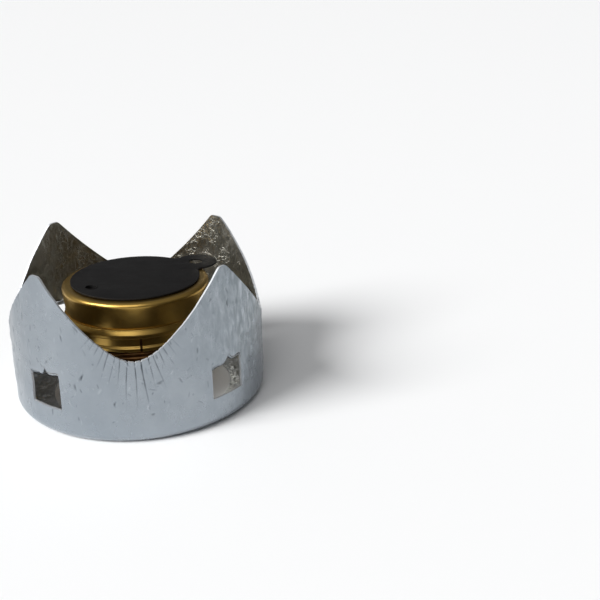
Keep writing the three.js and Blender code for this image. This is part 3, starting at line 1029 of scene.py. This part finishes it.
def build_simmer_ring():
    """The drum with its shoulder, step, slit skirt and lip, and the seat inside it."""
    drum = (RING_HIGH[0] - RING_LOW[0]) / 2
    low, top = RING_LOW[2], RING_HIGH[2]
    skirt = drum - 1.3
    lip = drum - 0.35
    path = rounded_path([
        (lip - 1.0, low + 0.25, 0), (lip, low, 0.5), (lip + 0.1, low + 1.9, 0.8),
        (skirt, low + 2.7, 0.5), (skirt, low + 6.6, 0.5), (drum, low + 7.1, 0.8),
        (drum, low + 8.8, 1.2), (drum - 1.4, low + 11.3, 1.2), (drum - 1.0, low + 15, 8.0),
        (drum - 0.1, top, 2.3), (RING_OPENING, top, 0),
    ])
    brass = ring_brass()
    points, faces = turned(sheet_section(resampled(path, 1.2), BRASS_SHEET), 288)
    ring = piece(
        "simmer_ring_drum", points, faces, [brass], "simmer", ["simmer_ring"],
    )
    tools = []
    for i in range(SLITS):
        azimuth = math.radians(FIRST_SLIT + 360 / SLITS * i)
        tools.append(radial_slot(azimuth, 33, 40, SLIT_HALF_WIDTH, low - 1, low + SLIT_HEIGHT))
    tools.append(prism(circle(PIVOT[:2], PIVOT_BORE, 32), top - 3, top + 2))
    cut(ring, tools)
    seat_top = SLEEVE_HIGH[2] + SEAT_ABOVE_BURNER + BRASS_SHEET
    seat_path = np.array([(SEAT_OPENING, seat_top), (drum - 0.9, seat_top)])
    points, faces = turned(sheet_section(resampled(seat_path, 1.0), -BRASS_SHEET), 128)
    piece("simmer_ring_seat", points, faces, [brass], "simmer", [])


# ---- cover and pivot

COVER_RADIUS = 32.5
COVER_EDGE = 0.18  # how much the plate's edge is rounded
EAR_RADIUS = 11.2
EAR_CENTRE = 36.7
EAR_FILLET = 3.0
EAR_HOLE = 3.65
SHANK_RADIUS = 2.95
SHANK_BORE = 2.7
RIVET_HEAD = 0.5  # thickness of the head under the ring's top


def direction_of(vector):
    """The direction of a plan vector, in radians from +X."""
    return math.atan2(vector[1], vector[0])


def cover_outline(inset):
    """The disc's arc and the ear's arc, with a small fillet in both corners between them."""
    disc, ear = COVER_RADIUS - inset, EAR_RADIUS - inset
    to_fillet, to_ear = disc + EAR_FILLET, ear + EAR_FILLET
    reach = math.acos(
        (to_fillet ** 2 + EAR_CENTRE ** 2 - to_ear ** 2) / (2 * to_fillet * EAR_CENTRE)
    )
    middle = direction_of(EAR_DIRECTION)
    ear_centre = np.array([math.cos(middle), math.sin(middle)]) * EAR_CENTRE
    after, before = middle + reach, middle - reach
    upper = np.array([math.cos(after), math.sin(after)]) * to_fillet
    lower = np.array([math.cos(before), math.sin(before)]) * to_fillet
    points = arc((0, 0), disc, after, before + 2 * math.pi, 200)
    start, end = before + math.pi, direction_of(ear_centre - lower)
    while end > start:
        end -= 2 * math.pi
    points += arc(lower, EAR_FILLET, start, end, 10)
    start, end = direction_of(lower - ear_centre), direction_of(upper - ear_centre)
    while end < start:
        end += 2 * math.pi
    points += arc(ear_centre, ear, start, end, 90)
    start, end = direction_of(ear_centre - upper), after + math.pi
    while end > start:
        end -= 2 * math.pi
    points += arc(upper, EAR_FILLET, start, end, 10)
    return points


def build_cover(black):
    """The thin plate, with rounded edges, the hole in its ear and the pivot's hole."""
    low, high = COVER_LOW[2], COVER_HIGH[2]
    curve = bpy.data.curves.new("cover_curve", "CURVE")
    curve.dimensions = "2D"
    curve.fill_mode = "BOTH"
    hole = circle(EAR_DIRECTION * EAR_CENTRE, EAR_HOLE + COVER_EDGE, 48)
    pivot = circle(PIVOT[:2], PIVOT_BORE + COVER_EDGE, 40)
    for outline in (cover_outline(COVER_EDGE), hole, pivot):
        spline = curve.splines.new("POLY")
        spline.points.add(len(outline) - 1)
        for point, place in zip(spline.points, outline):
            point.co = (place[0] * MM, place[1] * MM, 0, 1)
        spline.use_cyclic_u = True
    curve.extrude = ((high - low) / 2 - COVER_EDGE) * MM
    curve.bevel_depth = COVER_EDGE * MM
    curve.bevel_resolution = 3
    shape = placed("cover_curve", curve)
    graph = bpy.context.evaluated_depsgraph_get()
    mesh = bpy.data.meshes.new_from_object(shape.evaluated_get(graph))
    bpy.data.objects.remove(shape)
    mesh.transform(Matrix.Translation((0, 0, (low + high) / 2 * MM)))
    mesh.name = "simmer_cover_plate"
    mesh.shade_smooth()
    mesh.set_sharp_from_angle(angle=math.radians(50))
    mesh.materials.clear()
    mesh.materials.append(black)
    made = placed("simmer_cover_plate", mesh)
    weld = made.modifiers.new("weld", "WELD")
    weld.merge_threshold = 0.01 * MM
    apply_modifiers(made)
    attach(made, "cover")
    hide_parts("simmer_cover")


def build_rivet(black):
    """The hollow rivet: a head under the ring's top, and a collar rolled over the cover."""
    low, high = RIVET_LOW[2], RIVET_HIGH[2]
    head = (RIVET_HIGH[0] - RIVET_LOW[0]) / 2
    middle = (low + high) / 2
    shank, collar, bore = SHANK_RADIUS, SHANK_RADIUS + 0.4, SHANK_BORE
    plate = COVER_HIGH[2]
    section = resampled(rounded_path([
        (bore, middle, 0), (bore, low, 0.1), (head, low, 0.2), (head, low + RIVET_HEAD, 0.2),
        (shank, low + RIVET_HEAD, 0.1), (shank, plate + 0.06, 0.05), (collar, plate + 0.06, 0.04),
        (collar, plate + 0.14, 0.03), (shank, plate + 0.22, 0.2), (bore, plate + 0.12, 0.05),
        (bore, middle + 0.01, 0),
    ], step=15.0), 0.6)[:-1]
    points, faces = turned(section, 64)
    points = points + [PIVOT[0], PIVOT[1], 0.0]
    piece(
        "cover_pivot_eyelet", points, faces, [black], "simmer", ["pivot_rivet"],
    )


# ---- studio

HORIZON_LIGHT = 0.12
OVERHEAD_LIGHT = 0.13
SIDE_LIGHT = -0.08  # the sky is dimmer towards +X
LEAST_LIGHT = 0.03
BACKDROP = 1.0
SKY_TINT = (0.96, 0.98, 1.0, 1.0)
FLOOR_COLOUR = (0.94, 0.94, 0.94, 1.0)
FLOOR_REACH = 12.0  # metres

# Where the camera stands, in widths of the stand, and how it is turned, in degrees.
CAMERA_PLACE = (0.1894, -3.2422, 1.6033)
CAMERA_TURN = 8.23
CAMERA_DOWN = 21.2
CAMERA_ROLL = 0.3
CAMERA_LENS = 51.05
CAMERA_SENSOR = 36.0


def build_world():
    """A soft sky, brighter overhead and towards -X, and a pale backdrop where it is seen."""
    world = bpy.data.worlds.new("studio")
    world.use_nodes = True
    tree = world.node_tree
    sky = tree.nodes["Background"]
    direction = tree.nodes.new("ShaderNodeTexCoord").outputs["Generated"]
    parts = tree.nodes.new("ShaderNodeSeparateXYZ")
    tree.links.new(direction, parts.inputs[0])

    def combined(operation, first, second):
        node = tree.nodes.new("ShaderNodeMath")
        node.operation = operation
        for source, socket in ((first, node.inputs[0]), (second, node.inputs[1])):
            if isinstance(source, float):
                socket.default_value = source
            else:
                tree.links.new(source, socket)
        return node.outputs[0]

    height = combined("MAXIMUM", parts.outputs["Z"], 0.0)
    overhead = combined("MULTIPLY", combined("POWER", height, 1.6), OVERHEAD_LIGHT)
    sideways = combined("MULTIPLY", parts.outputs["X"], SIDE_LIGHT)
    light = combined("ADD", combined("ADD", overhead, sideways), HORIZON_LIGHT)
    light = combined("MAXIMUM", light, LEAST_LIGHT)
    seen = tree.nodes.new("ShaderNodeLightPath").outputs["Is Camera Ray"]
    light = combined("MAXIMUM", light, combined("MULTIPLY", seen, BACKDROP))
    tree.links.new(light, sky.inputs["Strength"])
    sky.inputs["Color"].default_value = SKY_TINT
    bpy.context.scene.world = world


def build_floor():
    """A wide pale sheet on the ground."""
    nodes = Nodes("pale_floor")
    nodes.shader.inputs["Base Color"].default_value = FLOOR_COLOUR
    nodes.shader.inputs["Roughness"].default_value = 0.8
    mesh = bpy.data.meshes.new("floor")
    corners = [(-1, -1), (1, -1), (1, 1), (-1, 1)]
    mesh.from_pydata([(x * FLOOR_REACH, y * FLOOR_REACH, 0) for x, y in corners], [], [(0, 1, 2, 3)])
    mesh.materials.append(nodes.material)
    placed("floor", mesh)


def soft_sun(name, azimuth, elevation, strength, spread):
    """A far, broad lamp; azimuth is where it stands, in degrees from -Y towards +X."""
    data = bpy.data.lights.new(name, "SUN")
    data.energy = strength
    data.angle = math.radians(spread)
    around, up = math.radians(azimuth), math.radians(elevation)
    place = Vector((math.sin(around) * math.cos(up), -math.cos(around) * math.cos(up), math.sin(up)))
    light = placed(name, data)
    light.location = place
    light.rotation_euler = place.to_track_quat("Z", "Y").to_euler()


def build_studio():
    """World, floor and lamps, with plain colour management."""
    bpy.context.scene.view_settings.view_transform = "Standard"
    build_world()
    build_floor()
    soft_sun("key_left", azimuth=-64, elevation=34, strength=3.9, spread=32)
    soft_sun("front_top", azimuth=-16, elevation=50, strength=0.65, spread=36)
    soft_sun("fill_right", azimuth=80, elevation=40, strength=0.05, spread=50)


def build_camera():
    """A short telephoto that looks down from the front, over the space to the stove's right."""
    data = bpy.data.cameras.new("camera")
    data.sensor_width = CAMERA_SENSOR
    data.lens = CAMERA_LENS
    camera = placed("camera", data)
    stand_width = 2 * STAND_RADIUS * MM
    camera.location = [share * stand_width for share in CAMERA_PLACE]
    turn, down, roll = (math.radians(a) for a in (CAMERA_TURN, CAMERA_DOWN, CAMERA_ROLL))
    forward = Vector((
        math.sin(turn) * math.cos(down), math.cos(turn) * math.cos(down), -math.sin(down),
    ))
    right = Vector((math.cos(turn), -math.sin(turn), 0.0))
    lower = forward.cross(right)
    image_right = right * math.cos(roll) + lower * math.sin(roll)
    image_up = right * math.sin(roll) - lower * math.cos(roll)
    axes = Matrix((image_right, image_up, -forward)).transposed()
    camera.rotation_mode = "QUATERNION"
    camera.rotation_quaternion = axes.to_quaternion()
    bpy.context.scene.camera = camera


# ---- build

build_camera()
build_stand()
build_burner()
build_simmer_ring()
coating = black_coating()
build_cover(coating)
build_rivet(coating)
build_studio()
